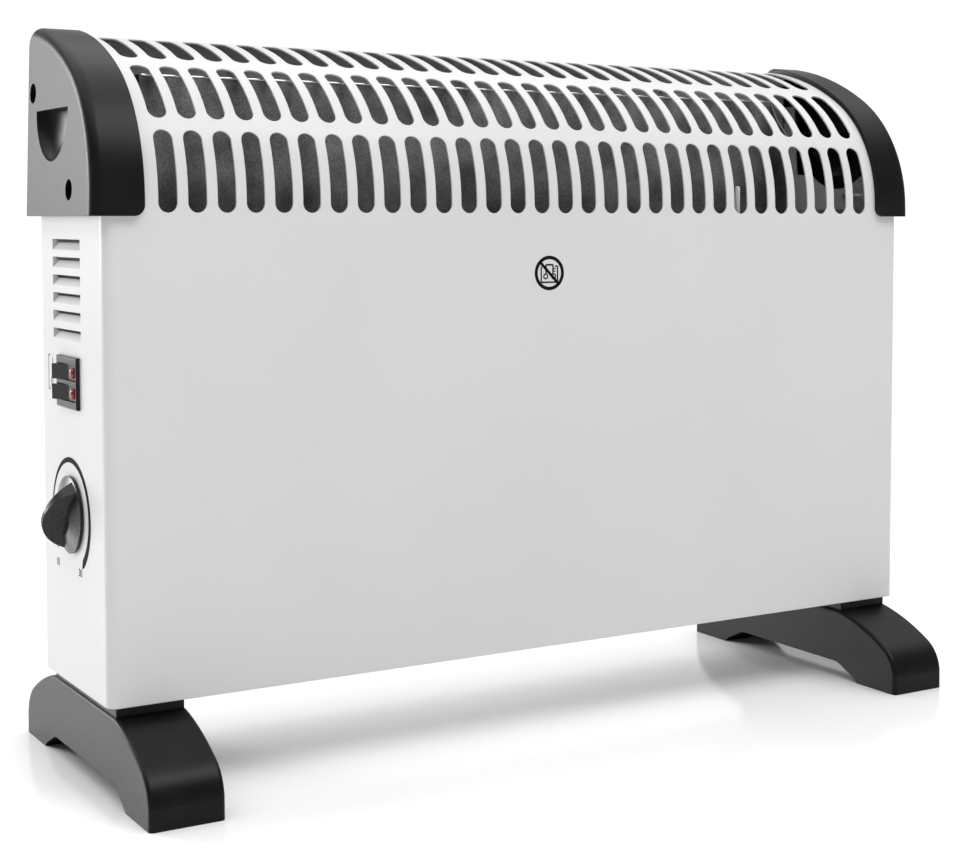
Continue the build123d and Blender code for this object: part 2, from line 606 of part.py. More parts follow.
with BuildPart() as thermostat_knob:
    # skirt: thin at its rim and thicker at the middle
    with BuildSketch(Plane(origin=(MID_X + KNOB_BACK, DIAL_Y, DIAL_Z), x_dir=(0, 1, 0), z_dir=(0, 0, 1))):
        with BuildLine():
            rim = (KNOB_R, KNOB_RIM)
            Polyline((0, 0), (KNOB_R, 0), rim, (10, KNOB_BASE), (0, KNOB_BASE), (0, 0))
        make_face()
    revolve(axis=Axis((MID_X, DIAL_Y, DIAL_Z), (1, 0, 0)))
    add(knob_grip())
    rod((SHAFT_OUT - 0.1, DIAL_Y, DIAL_Z), SHAFT_R + 0.02, 20, ALONG_X, Mode.SUBTRACT)
    rod((KNOB_BACK - 2.3, DIAL_Y, DIAL_Z), 8.6, 3, ALONG_X, Mode.SUBTRACT)

# ---------------------------------------------------------------- heat shields and coil supports
FRONT_SHIELD_BACK = FRONT_SHIELD_Y + SHIELD

with BuildPart() as front_heat_shield:
    block(SHIELD_X, (FRONT_SHIELD_Y, FRONT_SHIELD_BACK), SHIELD_Z)
    block(SHIELD_X, (FRONT_SHIELD_Y, FRONT_SHIELD_Y + 7), (SHIELD_Z[1] - SHIELD, SHIELD_Z[1]))
    block((SHIELD_X[0], SHIELD_X[0] + SHIELD), (FRONT_SHIELD_Y, FRONT_SHIELD_Y + 6), SHIELD_Z)
    # the right end is folded forwards into a cheek that follows the grille's curve
    with BuildSketch(SIDE.offset(SHIELD_X[1])):
        with BuildLine():
            low = (FRONT_SHIELD_BACK, SHIELD_Z[0])
            crown = (FRONT_SHIELD_BACK, SHIELD_Z[1] - SHIELD)
            Polyline(low, crown, (-18, 353), (CHEEK_Y, 342), (CHEEK_Y, SHIELD_Z[0]), low)
        make_face()
    extrude(amount=-SHIELD)

with BuildPart() as rear_heat_shield:
    block(SHIELD_X, (REAR_SHIELD_Y, REAR_SHIELD_Y + SHIELD), SHIELD_Z)
    block(SHIELD_X, (REAR_SHIELD_Y, PANEL_Y - SHEET - 0.1), (SHIELD_Z[1] - SHIELD, SHIELD_Z[1]))
    for x in (SHIELD_X[0], SHIELD_X[1] - SHIELD):
        block((x, x + SHIELD), (REAR_SHIELD_Y, PANEL_Y - SHEET - 0.1), SHIELD_Z)

STRAP_XS = (-205.0, 150.0)

with BuildPart() as shield_straps:
    for x in STRAP_XS:
        block((x - 6, x + 6), (FRONT_SHIELD_BACK + 0.1, REAR_SHIELD_Y - 0.1), (346, 347))
        block((x - 6, x + 6), (FRONT_SHIELD_BACK + 0.1, FRONT_SHIELD_BACK + 1.1), (336, 347))
        block((x - 6, x + 6), (REAR_SHIELD_Y - 1.1, REAR_SHIELD_Y - 0.1), (336, 347))

COMB_XS = (-160.0, -80.0, 0.0, 80.0, 150.0)
PLATE_Y = (FRONT_SHIELD_BACK + 0.3, REAR_SHIELD_Y - 0.3)
PLATE_XS = (-216.0, SHIELD_X[1] - 3.0)
COIL_PLACES = [(y, z) for y in COIL_Y for z in COIL_Z]


def coil_plate(x):
    """Sheet plate between the heat shields, with a hole for each coil's insulating bush."""
    with BuildPart() as plate:
        block((x, x + 1.0), PLATE_Y, (SHIELD_Z[0] + 2, 190))
        for y, z in COIL_PLACES:
            rod((x - 1, y, z), CERAMIC_R - 1.2, 3, ALONG_X, Mode.SUBTRACT)
    return plate


left_coil_plate = coil_plate(PLATE_XS[0])
right_coil_plate = coil_plate(PLATE_XS[1])

with BuildPart() as mica_combs:
    for x in COMB_XS:
        block((x - 0.8, x + 0.8), PLATE_Y, (124, 184))
        for y, z in COIL_PLACES:
            rod((x - 2, y, z), COIL_R + 0.1, 4, ALONG_X, Mode.SUBTRACT)

with BuildPart() as ceramic_bushes:
    for y, z in COIL_PLACES:
        rod((PLATE_XS[0] - 2.2, y, z), CERAMIC_R, 2.1, ALONG_X)
        rod((PLATE_XS[0] - 2.2, y, z), CERAMIC_R - 1.3, 7, ALONG_X)
        rod((PLATE_XS[0] - 4, y, z), COIL_R + 0.1, 12, ALONG_X, Mode.SUBTRACT)

COIL_START = PLATE_XS[0] - 6
COIL_END = PLATE_XS[1] - 18


def heating_coil(y):
    """Envelope of one stage's coil of resistance wire: out along the lower row and back along the upper."""
    with BuildPart() as coil:
        with BuildLine(Plane(origin=(MID_X, y, 0), x_dir=(1, 0, 0), z_dir=(0, -1, 0))) as route:
            out = Line((COIL_START, COIL_Z[0]), (COIL_END, COIL_Z[0]))
            bend = JernArc(out @ 1, out % 1, (COIL_Z[1] - COIL_Z[0]) / 2, 180)
            Line(bend @ 1, (COIL_START, COIL_Z[1]))
        with BuildSketch(Plane(origin=route.line @ 0, z_dir=route.line % 0)):
            Circle(COIL_R)
        sweep()
    return coil


heating_coil_front = heating_coil(COIL_Y[0])
heating_coil_rear = heating_coil(COIL_Y[1])

with BuildPart() as coil_terminals:
    for y, z in COIL_PLACES:
        tab((COIL_START - 9, COIL_START - 0.1), y, z)

CUTOUT_X = -60.0
CUTOUT_Z = 225.0

with BuildPart() as overheat_cutout:
    rod((CUTOUT_X, REAR_SHIELD_Y - 7.1, CUTOUT_Z), 8.5, 7, ALONG_Y)
    strap_y = (REAR_SHIELD_Y - 0.9, REAR_SHIELD_Y - 0.1)
    block((CUTOUT_X - 12, CUTOUT_X + 12), strap_y, (CUTOUT_Z - 3.5, CUTOUT_Z + 3.5))
    tab_y = (REAR_SHIELD_Y - 14, REAR_SHIELD_Y - 7)
    for x in (CUTOUT_X - 4, CUTOUT_X + 4):
        block((x - 2.4, x + 2.4), tab_y, (CUTOUT_Z - TAB_T / 2, CUTOUT_Z + TAB_T / 2))

with BuildPart() as thermal_fuse:
    rod((CUTOUT_X + 22, REAR_SHIELD_Y - 3, CUTOUT_Z), 2.0, 11, ALONG_X)
    rod((CUTOUT_X + 18, REAR_SHIELD_Y - 3, CUTOUT_Z), 0.6, 19, ALONG_X)

# ---------------------------------------------------------------- fan below the coils
MOTOR_Z = 91.0
STACK_H = 13.0
ROTOR_R = 12.0
FAN_SHAFT_R = 1.6
BLADE_COUNT = 7
BAR_Z = 83.0

with BuildPart() as fan_frame:
    block((FAN_X - 47, FAN_X + 47), (-47, 47), (FAN_Z, FAN_Z + 1.2))
    rod((FAN_X, 0, FAN_Z), FAN_R + 4.2, 21, mode=Mode.ADD)
    rod((FAN_X, 0, FAN_Z - 1), FAN_R + 2.8, 24, mode=Mode.SUBTRACT)
    for x in (FAN_X - 43, FAN_X + 43):
        for y in (-43, 43):
            block((x - 4, x + 4), (y - 4, y + 4), (PLATE_TOP + 0.05, FAN_Z + 0.5))
    block((FAN_X - FAN_R - 3.5, FAN_X + FAN_R + 3.5), (-6, 6), (BAR_Z - 1.5, BAR_Z))
    rod((FAN_X, 0, BAR_Z - 3), 5.0, 4, mode=Mode.SUBTRACT)

with BuildPart() as fan_blade:
    root = Plane(origin=(MID_X + FAN_X, 11.0, FAN_Z + 9), x_dir=(1, 0, 0), z_dir=(0, 1, 0))
    with BuildSketch(root):
        Rectangle(15, 1.4, rotation=38)
    with BuildSketch(root.offset(FAN_R - 12.2)):
        Rectangle(25, 1.2, rotation=24)
    loft()

with BuildPart() as fan_impeller:
    rod((FAN_X, 0, FAN_Z + 2), 12.5, 14)
    for i in range(BLADE_COUNT):
        add(fan_blade.part.rotate(Axis((MID_X + FAN_X, 0, 0), (0, 0, 1)), 360 / BLADE_COUNT * i))
    rod((FAN_X, 0, FAN_Z), FAN_SHAFT_R + 0.02, 20, mode=Mode.SUBTRACT)

with BuildPart() as fan_shaft:
    rod((FAN_X, 0, FAN_Z + 1), FAN_SHAFT_R, 49)

with BuildPart() as fan_rotor:
    rod((FAN_X, 0, MOTOR_Z - 0.5), ROTOR_R, STACK_H + 1)
    rod((FAN_X, 0, MOTOR_Z - 2), FAN_SHAFT_R + 0.02, STACK_H + 4, mode=Mode.SUBTRACT)

CORE_X = (FAN_X - 21, FAN_X + 39)
WINDOW_X = (FAN_X + 18, FAN_X + 29)
CORE_Y = 19.0
WINDOW_Y = 11.0

with BuildPart() as fan_motor_core:
    block(CORE_X, (-CORE_Y, CORE_Y), (MOTOR_Z, MOTOR_Z + STACK_H))
    rod((FAN_X, 0, MOTOR_Z - 1), ROTOR_R + 0.35, STACK_H + 2, mode=Mode.SUBTRACT)
    block(WINDOW_X, (-WINDOW_Y, WINDOW_Y), (MOTOR_Z - 1, MOTOR_Z + STACK_H + 1), Mode.SUBTRACT)

with BuildPart() as fan_motor_coil:
    grow = 6.0
    wind_y = (-WINDOW_Y + 0.3, WINDOW_Y - 0.3)
    block((WINDOW_X[1] - grow, CORE_X[1] + grow), wind_y, (MOTOR_Z - grow, MOTOR_Z + STACK_H + grow))
    fillet(fan_motor_coil.edges().filter_by(Axis.Y), 4.0)
    limb_z = (MOTOR_Z - 0.15, MOTOR_Z + STACK_H + 0.15)
    block((WINDOW_X[1] - 0.15, CORE_X[1] + 0.15), (-40, 40), limb_z, Mode.SUBTRACT)

TOP_BAR_Z = MOTOR_Z + STACK_H + 5.0

with BuildPart() as fan_bearings:
    for z in (BAR_Z - 1.5, TOP_BAR_Z):
        rod((FAN_X, 0, z - 1), 4.9, 3.6)
        rod((FAN_X, 0, z - 2), FAN_SHAFT_R + FIT, 8, mode=Mode.SUBTRACT)

with BuildPart() as fan_motor_yoke:
    block((FAN_X - 7, FAN_X + 7), (-CORE_Y, CORE_Y), (TOP_BAR_Z, TOP_BAR_Z + 1.2))
    for y in (-CORE_Y, CORE_Y - 5):
        block((FAN_X - 7, FAN_X + 7), (y, y + 5), (MOTOR_Z + STACK_H + 0.05, TOP_BAR_Z + 1.2))
    rod((FAN_X, 0, TOP_BAR_Z - 2), 5.0, 6, mode=Mode.SUBTRACT)
    for y in (-CORE_Y + 2.5, CORE_Y - 2.5):
        rod((FAN_X, y, MOTOR_Z), 1.3, 40, mode=Mode.SUBTRACT)

# ---------------------------------------------------------------- mains entry
with BuildPart() as cable_gland:
    rod((GLAND_X, PANEL_Y + 0.05, GLAND_Z), 9.0, 3.0, ALONG_Y)
    fillet(cable_gland.faces().sort_by(Axis.Y)[-1].edges(), 1.0)
    rod((GLAND_X, PANEL_Y - 9, GLAND_Z), 6.0, 9.5, ALONG_Y)
    rod((GLAND_X, PANEL_Y - 10, GLAND_Z), CABLE_R, 16, ALONG_Y, Mode.SUBTRACT)

BLOCK_X = -215.0
BLOCK_Y = 33.0

with BuildPart() as terminal_block:
    block((BLOCK_X, BLOCK_X + 36), (BLOCK_Y - 9, BLOCK_Y + 9), (PLATE_TOP + 13.3, PLATE_TOP + 28))
    for i in range(3):
        x = BLOCK_X + 6 + 12 * i
        rod((x, BLOCK_Y - 10, PLATE_TOP + 19), 2.0, 20, ALONG_Y, Mode.SUBTRACT)
        for y in (BLOCK_Y - 4.5, BLOCK_Y + 4.5):
            rod((x, y, PLATE_TOP + 22), 2.2, 8, mode=Mode.SUBTRACT)

with BuildPart() as terminal_bracket:
    block((BLOCK_X, BLOCK_X + 36), (BLOCK_Y - 9, BLOCK_Y + 9), (PLATE_TOP + 12, PLATE_TOP + 13.2))
    block((BLOCK_X, BLOCK_X + 36), (BLOCK_Y - 9, BLOCK_Y - 7.8), (PLATE_TOP + 0.1, PLATE_TOP + 13.2))
    block((BLOCK_X, BLOCK_X + 36), (BLOCK_Y - 9, BLOCK_Y + 3), (PLATE_TOP + 0.1, PLATE_TOP + 1.3))

# ---------------------------------------------------------------- write every piece
PIECES = {
    "front_shell": front_shell, "back_panel": back_panel, "bottom_plate": bottom_plate,
    "back_screws": back_screws, "left_end_cap": left_end_cap, "right_end_cap": right_end_cap,
    "left_wing_bracket": left_wing_bracket, "right_wing_bracket": right_wing_bracket,
    "cap_screws": cap_screws, "left_foot": left_foot, "right_foot": right_foot, "foot_screws": foot_screws,
    "switch_housing": switch_housing, "rocker_upper": rocker_upper, "rocker_lower": rocker_lower,
    "lens_upper": lens_upper, "lens_lower": lens_lower, "switch_terminals": switch_terminals,
    "thermostat_body": thermostat_body, "thermostat_nut": thermostat_nut,
    "thermostat_shaft": thermostat_shaft, "thermostat_knob": thermostat_knob,
    "front_heat_shield": front_heat_shield, "rear_heat_shield": rear_heat_shield,
    "shield_straps": shield_straps,
    "left_coil_plate": left_coil_plate, "right_coil_plate": right_coil_plate,
    "mica_combs": mica_combs, "ceramic_bushes": ceramic_bushes, "heating_coil_front": heating_coil_front,
    "heating_coil_rear": heating_coil_rear, "coil_terminals": coil_terminals,
    "overheat_cutout": overheat_cutout, "thermal_fuse": thermal_fuse, "fan_frame": fan_frame,
    "fan_impeller": fan_impeller, "fan_shaft": fan_shaft, "fan_rotor": fan_rotor,
    "fan_motor_core": fan_motor_core, "fan_motor_coil": fan_motor_coil, "fan_bearings": fan_bearings,
    "fan_motor_yoke": fan_motor_yoke, "cable_gland": cable_gland, "terminal_block": terminal_block,
    "terminal_bracket": terminal_bracket,
}
for name, piece in PIECES.items():
    piece.part.label = name
    export_step(piece.part, f"parts/{name}.step")
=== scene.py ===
import bmesh
import bpy
import json
import math
from mathutils import Matrix, Vector


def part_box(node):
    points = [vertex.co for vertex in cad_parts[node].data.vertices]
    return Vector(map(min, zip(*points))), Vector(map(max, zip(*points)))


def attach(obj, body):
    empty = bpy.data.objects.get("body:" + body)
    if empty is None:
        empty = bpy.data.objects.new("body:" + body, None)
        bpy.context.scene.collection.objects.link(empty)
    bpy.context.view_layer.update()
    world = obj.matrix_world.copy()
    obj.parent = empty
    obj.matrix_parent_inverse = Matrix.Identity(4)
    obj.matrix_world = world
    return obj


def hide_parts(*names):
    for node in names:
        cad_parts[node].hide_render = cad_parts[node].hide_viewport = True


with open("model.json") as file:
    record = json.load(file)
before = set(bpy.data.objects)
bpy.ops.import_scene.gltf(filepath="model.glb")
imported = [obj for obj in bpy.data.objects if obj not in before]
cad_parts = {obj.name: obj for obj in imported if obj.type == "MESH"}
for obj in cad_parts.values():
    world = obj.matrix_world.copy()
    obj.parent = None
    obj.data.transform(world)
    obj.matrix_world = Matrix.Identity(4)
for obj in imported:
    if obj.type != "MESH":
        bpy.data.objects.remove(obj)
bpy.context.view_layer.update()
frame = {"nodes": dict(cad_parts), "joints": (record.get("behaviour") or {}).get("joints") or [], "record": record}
nodes = frame["nodes"]

MM = 0.001


# ---------------------------------------------------------------- material helpers
BEVEL_SAMPLES = 6


def new_material(name):
    """Material with a Principled shader; returns it with its nodes, links and shader."""
    material = bpy.data.materials.new(name)
    material.use_nodes = True
    tree = material.node_tree
    return material, tree.nodes, tree.links, tree.nodes["Principled BSDF"]


def noise(tree_nodes, links, scale, detail=3.0, rough=0.5):
    """Factor of a noise texture in object space; scale counts its features per metre."""
    coords = tree_nodes.new("ShaderNodeTexCoord")
    texture = tree_nodes.new("ShaderNodeTexNoise")
    texture.inputs["Scale"].default_value = scale
    texture.inputs["Detail"].default_value = detail
    texture.inputs["Roughness"].default_value = rough
    links.new(coords.outputs["Object"], texture.inputs["Vector"])
    return texture.outputs["Fac"]


def ramp(tree_nodes, links, source, low, high, start=0.3, end=0.7):
    """Colour ramp from low to high, driven by a factor between start and end."""
    node = tree_nodes.new("ShaderNodeValToRGB")
    node.color_ramp.elements[0].position = start
    node.color_ramp.elements[1].position = end
    node.color_ramp.elements[0].color = (*low, 1)
    node.color_ramp.elements[1].color = (*high, 1)
    links.new(source, node.inputs["Fac"])
    return node.outputs["Color"]


def spread(tree_nodes, links, source, low, high):
    """Maps a factor of 0 to 1 onto low to high."""
    node = tree_nodes.new("ShaderNodeMapRange")
    node.inputs["To Min"].default_value = low
    node.inputs["To Max"].default_value = high
    links.new(source, node.inputs["Value"])
    return node.outputs["Result"]


def bump(tree_nodes, links, shader, height, distance, strength=1.0, edge=None):
    """Bumps the shader's normal by a height; edge also softens sharp edges by that radius."""
    node = tree_nodes.new("ShaderNodeBump")
    node.inputs["Strength"].default_value = strength
    node.inputs["Distance"].default_value = distance
    links.new(height, node.inputs["Height"])
    if edge:
        rounded = tree_nodes.new("ShaderNodeBevel")
        rounded.samples = BEVEL_SAMPLES
        rounded.inputs["Radius"].default_value = edge
        links.new(rounded.outputs["Normal"], node.inputs["Normal"])
    links.new(node.outputs["Normal"], shader.inputs["Normal"])


# ---------------------------------------------------------------- kinds of material
MOULDED_MOTTLE = 60
MOULDED_UNEVEN = 0.07
MOULDED_EDGE = 0.3 * MM
METAL_EDGE = 0.2 * MM
METAL_SMOOTHER, METAL_DULLER = 0.1, 0.12
METAL_MARKS = 12
INK_GRAIN = 2500
INK_PALER = 1.5
WAVES_PER_SCALE = 20


def moulded(name, dark, light, roughness, grain, depth, gloss=0.5):
    """Moulded plastic: two close tones, an eroded grain and slightly uneven gloss."""
    material, tree_nodes, links, shader = new_material(name)
    tone = noise(tree_nodes, links, MOULDED_MOTTLE, detail=4)
    links.new(ramp(tree_nodes, links, tone, dark, light), shader.inputs["Base Color"])
    fine = noise(tree_nodes, links, grain, detail=2, rough=0.6)
    dull = spread(tree_nodes, links, fine, roughness - MOULDED_UNEVEN, roughness + MOULDED_UNEVEN)
    links.new(dull, shader.inputs["Roughness"])
    shader.inputs["Specular IOR Level"].default_value = gloss
    bump(tree_nodes, links, shader, fine, depth, edge=MOULDED_EDGE)
    return material


def metal(name, dark, light, roughness, scale, depth):
    """Plain metal with mottled tone and fine marks."""
    material, tree_nodes, links, shader = new_material(name)
    shader.inputs["Metallic"].default_value = 1.0
    tone = noise(tree_nodes, links, scale, detail=5, rough=0.6)
    links.new(ramp(tree_nodes, links, tone, dark, light), shader.inputs["Base Color"])
    dull = spread(tree_nodes, links, tone, roughness - METAL_SMOOTHER, roughness + METAL_DULLER)
    links.new(dull, shader.inputs["Roughness"])
    fine = noise(tree_nodes, links, scale * METAL_MARKS, detail=2)
    bump(tree_nodes, links, shader, fine, depth, edge=METAL_EDGE)
    return material


def layered(name, dark, light, pitch, metallic, roughness, axis="Z"):
    """Stacked sheets or wound turns: fine bands along one axis, with a groove between them."""
    material, tree_nodes, links, shader = new_material(name)
    shader.inputs["Metallic"].default_value = metallic
    coords = tree_nodes.new("ShaderNodeTexCoord")
    bands = tree_nodes.new("ShaderNodeTexWave")
    bands.bands_direction = axis
    bands.inputs["Scale"].default_value = 1 / (pitch * WAVES_PER_SCALE)
    bands.inputs["Distortion"].default_value = 0.15
    links.new(coords.outputs["Object"], bands.inputs["Vector"])
    band = bands.outputs["Fac"]
    links.new(ramp(tree_nodes, links, band, dark, light, 0.1, 0.9), shader.inputs["Base Color"])
    dull = spread(tree_nodes, links, band, roughness + 0.1, roughness - 0.05)
    links.new(dull, shader.inputs["Roughness"])
    bump(tree_nodes, links, shader, band, 0.1 * MM)
    return material


def ink(name, tone):
    """Screen-printed ink: nearly flat, with a faint grain in its tone and gloss."""
    material, tree_nodes, links, shader = new_material(name)
    grain = noise(tree_nodes, links, INK_GRAIN, detail=2)
    paler = tuple(INK_PALER * part for part in tone)
    links.new(ramp(tree_nodes, links, grain, tone, paler), shader.inputs["Base Color"])
    links.new(spread(tree_nodes, links, grain, 0.55, 0.7), shader.inputs["Roughness"])
    shader.inputs["Specular IOR Level"].default_value = 0.05
    bump(tree_nodes, links, shader, grain, 0.01 * MM)
    return material


# ---------------------------------------------------------------- materials of their own
COAT_DARK, COAT_LIGHT = (0.65, 0.65, 0.648), (0.675, 0.675, 0.675)
COAT_CLOUDS, COAT_PEEL = 9, 650
COAT_EDGE = 0.8 * MM
ZINC_DARK, ZINC_LIGHT = (0.10, 0.10, 0.102), (0.34, 0.34, 0.345)
ZINC_CLOUDS, ZINC_SPECKLE = 45, 900
JEWEL_DARK, JEWEL_LIGHT = (0.16, 0.004, 0.003), (0.32, 0.010, 0.007)
JEWEL_STREAKS, JEWEL_MARKS = 500, 900
JEWEL_DEPTH = (2 * MM, 0.2 * MM, 0.1 * MM)


def powder_coat():
    """Gloss white powder coat: faint orange peel under a clear gloss, and soft rolled edges."""
    material, tree_nodes, links, shader = new_material("powder_coat_white")
    tone = noise(tree_nodes, links, COAT_CLOUDS, detail=4)
    links.new(ramp(tree_nodes, links, tone, COAT_DARK, COAT_LIGHT), shader.inputs["Base Color"])
    peel = noise(tree_nodes, links, COAT_PEEL, detail=1.5, rough=0.4)
    links.new(spread(tree_nodes, links, peel, 0.27, 0.31), shader.inputs["Roughness"])
    shader.inputs["Specular IOR Level"].default_value = 0.15
    shader.inputs["Coat Weight"].default_value = 0.08
    shader.inputs["Coat Roughness"].default_value = 0.15
    bump(tree_nodes, links, shader, peel, 0.002 * MM, strength=0.4, edge=COAT_EDGE)
    return material


def galvanised():
    """Dull zinc-coated sheet: a fine dark speckle, stronger in soft cloudy patches."""
    material, tree_nodes, links, shader = new_material("galvanised_sheet")
    shader.inputs["Metallic"].default_value = 0.85
    cloud = noise(tree_nodes, links, ZINC_CLOUDS, detail=3)
    speck = noise(tree_nodes, links, ZINC_SPECKLE, detail=4, rough=0.75)
    clouded = tree_nodes.new("ShaderNodeMath")
    clouded.operation = "MULTIPLY"
    links.new(cloud, clouded.inputs[0])
    links.new(speck, clouded.inputs[1])
    tones = ramp(tree_nodes, links, clouded.outputs["Value"], ZINC_DARK, ZINC_LIGHT, 0.14, 0.40)
    links.new(tones, shader.inputs["Base Color"])
    links.new(spread(tree_nodes, links, speck, 0.45, 0.65), shader.inputs["Roughness"])
    bump(tree_nodes, links, shader, speck, 0.12 * MM, edge=METAL_EDGE)
    return material


def jewel():
    """Red translucent plastic of the switches' jewels."""
    material, tree_nodes, links, shader = new_material("jewel_red")
    streak = noise(tree_nodes, links, JEWEL_STREAKS, detail=2)
    links.new(ramp(tree_nodes, links, streak, JEWEL_DARK, JEWEL_LIGHT), shader.inputs["Base Color"])
    shader.inputs["Roughness"].default_value = 0.08
    shader.inputs["Coat Weight"].default_value = 0.2
    shader.inputs["Coat Roughness"].default_value = 0.04
    shader.inputs["Subsurface Weight"].default_value = 0.25
    shader.inputs["Subsurface Radius"].default_value = JEWEL_DEPTH
    fine = noise(tree_nodes, links, JEWEL_MARKS, detail=1)
    bump(tree_nodes, links, shader, fine, 0.02 * MM)
    return material


# ---------------------------------------------------------------- materials by slot
BLACK_DARK, BLACK_LIGHT = (0.008, 0.008, 0.0082), (0.012, 0.012, 0.0123)

MATERIALS = {
    "case_white": powder_coat(),
    "black_plastic": moulded(
        "cap_black", (0.003, 0.003, 0.0031), (0.006, 0.006, 0.0062), 0.36, 1400, 0.02 * MM, gloss=0.17),
    "galvanised": galvanised(),
    "screw_steel": metal(
        "zinc_steel", (0.45, 0.45, 0.44), (0.62, 0.62, 0.60), 0.32, 400, 0.02 * MM),
    "switch_black": moulded(
        "switch_plastic", BLACK_DARK, BLACK_LIGHT, 0.3, 1800, 0.01 * MM, gloss=0.25),
    "lens_red": jewel(),
    "brass": metal(
        "brass_terminal", (0.55, 0.40, 0.16), (0.70, 0.54, 0.25), 0.3, 300, 0.02 * MM),
    "bakelite": moulded(
        "bakelite_brown", (0.05, 0.028, 0.018), (0.075, 0.042, 0.026), 0.4, 700, 0.03 * MM),
    "knob_black": moulded(
        "knob_plastic", BLACK_DARK, BLACK_LIGHT, 0.26, 1600, 0.01 * MM, gloss=0.3),
    "mica": layered(
        "pressed_mica", (0.34, 0.29, 0.20), (0.50, 0.44, 0.33), 0.3 * MM, 0.0, 0.45, axis="X"),
    "ceramic": moulded(
        "steatite", (0.70, 0.67, 0.60), (0.78, 0.75, 0.68), 0.5, 800, 0.03 * MM),
    "resistance_wire": metal(
        "resistance_wire", (0.16, 0.14, 0.13), (0.30, 0.27, 0.25), 0.45, 500, 0.02 * MM),
    "fuse_metal": metal(
        "fuse_case", (0.5, 0.5, 0.5), (0.66, 0.66, 0.66), 0.3, 400, 0.01 * MM),
    "impeller_plastic": moulded(
        "impeller_grey", (0.06, 0.06, 0.062), (0.085, 0.085, 0.088), 0.42, 900, 0.03 * MM),
    "aluminium": metal(
        "cast_aluminium", (0.50, 0.50, 0.51), (0.64, 0.64, 0.65), 0.4, 300, 0.05 * MM),
    "lamination": layered(
        "laminated_core", (0.10, 0.10, 0.11), (0.30, 0.30, 0.31), 0.5 * MM, 1.0, 0.45),
    "winding": layered(
        "taped_winding", (0.22, 0.06, 0.02), (0.42, 0.14, 0.05), 0.6 * MM, 0.0, 0.35),
    "block_plastic": moulded(
        "terminal_plastic", (0.66, 0.64, 0.56), (0.74, 0.72, 0.64), 0.4, 900, 0.02 * MM),
}
BLACK_INK = ink("ink_black", (0.006, 0.006, 0.006))
# Much lighter copy of the galvanised zinc, its colour painted light: on the wing brackets it stands in for light
# reaching them through the slots, and on the shield's hem it paints a highlight line.
PAINTED_LIGHT_ZINC = metal("zinc_painted_light", (0.80, 0.80, 0.80), (0.90, 0.90, 0.90), 0.32, 400, 0.01 * MM)
SLEEVE_WHITE = moulded("woven_sleeve", (0.88, 0.88, 0.87), (0.95, 0.95, 0.94), 0.6, 1500, 0.05 * MM)
LABEL_SILVER = metal("label_silver", (0.62, 0.62, 0.63), (0.72, 0.72, 0.73), 0.4, 500, 0.01 * MM)
# Wing brackets that get the lighter zinc as painted light.
PAINTED_LIGHT_NODES = ("left_wing_bracket", "right_wing_bracket")


def dress_nodes():
    """Gives each node the material of its slot, and the wing brackets a much lighter zinc whose colour is painted
    light, standing in for light reaching them through the slots.
    """
    for part in frame["record"]["subparts"]:
        name = part["node"]
        material = PAINTED_LIGHT_ZINC if name in PAINTED_LIGHT_NODES else MATERIALS[part["material_slot"]]
        mesh = nodes[name].data
        mesh.materials.clear()
        mesh.materials.append(material)


dress_nodes()


# ---------------------------------------------------------------- piece helpers
def add_piece(name, mesh, material, body="heater"):
    """Puts a mesh into the scene as a piece that rides on a body."""
    piece = bpy.data.objects.new(name, mesh)
    bpy.context.scene.collection.objects.link(piece)
    piece.data.materials.clear()
    piece.data.materials.append(material)
    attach(piece, body)
    return piece


def mesh_from(name, vertices, faces):
    """Mesh of some vertices and faces."""
    mesh = bpy.data.meshes.new(name)
    mesh.from_pydata(vertices, [], faces)
    mesh.validate()
    mesh.update()
    return mesh


def mesh_of_curve(name, curve):
    """Mesh of a curve or a text, which is removed again."""
    maker = bpy.data.objects.new(name, curve)
    bpy.context.scene.collection.objects.link(maker)
    bpy.context.view_layer.update()
    mesh = bpy.data.meshes.new_from_object(maker)
    bpy.data.objects.remove(maker)
    return mesh


def strip(inner, outer, place, closed=False):
    """Quads between two rows of flat points; place turns a flat point into a place on the object."""
    vertices = [place(*p) for p in inner] + [place(*p) for p in outer]
    count = len(inner)
    steps = count if closed else count - 1
    faces = [(i, (i + 1) % count, count + (i + 1) % count, count + i) for i in range(steps)]
    return vertices, faces


def bar(a, b, width, place):
    """Flat straight bar from a to b."""
    run = Vector(b) - Vector(a)
    side = Vector((-run.y, run.x)).normalized() * width / 2
    corners = [Vector(a) + side, Vector(b) + side, Vector(b) - side, Vector(a) - side]
    return [place(*c) for c in corners], [(0, 1, 2, 3)]


def arc_points(radius, start, end, count):
    """Points of an arc; angles in degrees, from the first axis towards the second."""
    step = (end - start) / (count - 1)
    angles = [math.radians(start + i * step) for i in range(count)]
    return [(radius * math.cos(angle), radius * math.sin(angle)) for angle in angles]


def joined(shapes):
    """One list of vertices and faces out of several."""
    vertices, faces = [], []
    for some_vertices, some_faces in shapes:
        start = len(vertices)
        vertices += some_vertices
        faces += [tuple(i + start for i in face) for face in some_faces]
    return vertices, faces


def printed(name, shapes, material, facing):
    """Flat shapes as one piece; facing points out of the case."""
    mesh = mesh_from(name, *joined(shapes))
    work = bmesh.new()
    work.from_mesh(mesh)
    bmesh.ops.recalc_face_normals(work, faces=work.faces)
    for face in work.faces:
        if face.normal.dot(Vector(facing)) < 0:
            face.normal_flip()
    work.to_mesh(mesh)
    work.free()
    return add_piece(name, mesh, material)


# ---------------------------------------------------------------- print on the left wing
LEFTWARD, FRONTWARD, BACKWARD = (-1, 0, 0), (0, -1, 0), (0, 1, 0)
INK_LIFT = 0.04 * MM
dial = Vector(next(j["pos_m"] for j in frame["joints"] if j["name"] == "thermostat_turn"))
shell_low, shell_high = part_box("front_shell")

